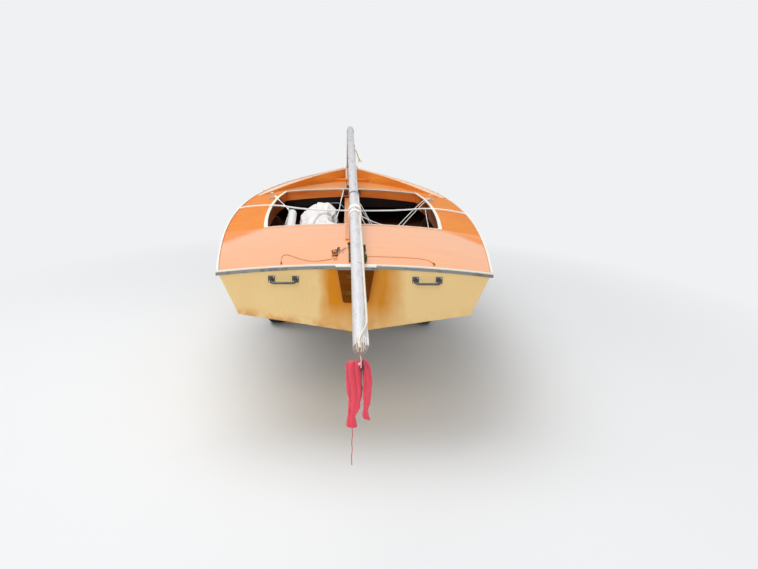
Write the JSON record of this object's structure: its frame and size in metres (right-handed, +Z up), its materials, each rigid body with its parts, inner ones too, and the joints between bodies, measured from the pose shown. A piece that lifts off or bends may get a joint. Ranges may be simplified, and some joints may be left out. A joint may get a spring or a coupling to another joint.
{
  "type": "sailing dinghy on a road trailer",
  "caption": "Hard-chine plywood sailing dinghy with varnished decks and open cockpit, stowed with its mast laid fore and aft on a small road trailer",
  "frame": {"origin": "on the ground, under the middle of the whole object's box", "axes": "+Z up, +Y towards the bow, +X to starboard"},
  "size_m": [1.7315, 7.422, 1.6551],
  "materials": {
    "varnished_ply": "clear gloss varnish on orange plywood",
    "cream_paint": "aged cream paint on plywood",
    "white_trim": "off-white painted trim strip",
    "light_wood": "light varnished timber",
    "dark_varnish": "dark brown varnish",
    "bare_timber": "weathered softwood",
    "mast_aluminium": "satin anodised, weathered",
    "rail_aluminium": "dull grey aluminium",
    "boom_paint": "white painted tube",
    "bronze": "greenish weathered bronze",
    "fitting_steel": "dulled bright metal",
    "dark_steel": "dark weathered metal",
    "galvanised": "galvanised steel",
    "wheel_paint": "white enamel",
    "fender_paint": "black paint",
    "rubber_black": "black rubber",
    "tyre_rubber": "black tyre rubber",
    "carpet": "dark bunk carpet",
    "canvas": "off-white sailcloth",
    "red_cloth": "red cotton rag",
    "rope_white": "white laid rope"
  },
  "bodies": {
    "boat_and_trailer": {"hull_bottom_port": "cream_paint", "hull_bottom_starboard": "cream_paint", "hull_side_port": "cream_paint", "hull_side_starboard": "cream_paint", "transom": "cream_paint", "stem": "cream_paint", "keel_strip": "cream_paint", "aft_deck": "varnished_ply", "side_deck_port": "varnished_ply", "side_deck_starboard": "varnished_ply", "foredeck": "varnished_ply", "splash_boards": "varnished_ply", "foredeck_pad": "varnished_ply", "coaming": "varnished_ply", "cockpit_floor": "dark_varnish", "floor_frames": "dark_varnish", "centreboard_trunk": "dark_varnish", "centreboard": "dark_varnish", "rudder_pad": "dark_varnish", "trunk_cap": "light_wood", "deck_edge_trim": "white_trim", "transom_cap": "white_trim", "cockpit_trim": "white_trim", "splash_caps": "white_trim", "transom_rail": "rail_aluminium", "gudgeons": "bronze", "handles": "rail_aluminium", "mast_step": "dark_steel", "deck_tracks": "dark_steel", "fairleads": "fitting_steel", "chainplates": "fitting_steel", "bow_eye": "fitting_steel", "sail_bag": "canvas", "boom": "boom_paint", "mast": "mast_aluminium", "mast_head_plug": "rail_aluminium", "mast_foot": "rail_aluminium", "rag": "red_cloth", "tie_down": "rope_white", "axle": "galvanised", "springs": "dark_steel", "trailer_tongue": "galvanised", "frame_rails": "galvanised", "cross_members": "galvanised", "bunks": "carpet", "bunk_posts": "galvanised", "fenders": "fender_paint", "winch_post": "galvanised", "bow_stop": "rubber_black", "winch": "galvanised", "mast_crutch": "bare_timber", "coupler": "galvanised", "jack": "galvanised"},
    "wheel_port_body": {"wheel_port": "wheel_paint", "tyre_port": "tyre_rubber"},
    "wheel_starboard_body": {"wheel_starboard": "wheel_paint", "tyre_starboard": "tyre_rubber"}
  },
  "joints": [
    {"name": "wheel_port_spin", "type": "hinge", "parent": "boat_and_trailer", "child": "wheel_port_body", "pos_m": [-0.6, -0.22, 0.262], "axis": [-1, 0, 0], "continuous": true},
    {"name": "wheel_starboard_spin", "type": "hinge", "parent": "boat_and_trailer", "child": "wheel_starboard_body", "pos_m": [0.6, -0.22, 0.262], "axis": [1, 0, 0], "continuous": true}
  ]
}
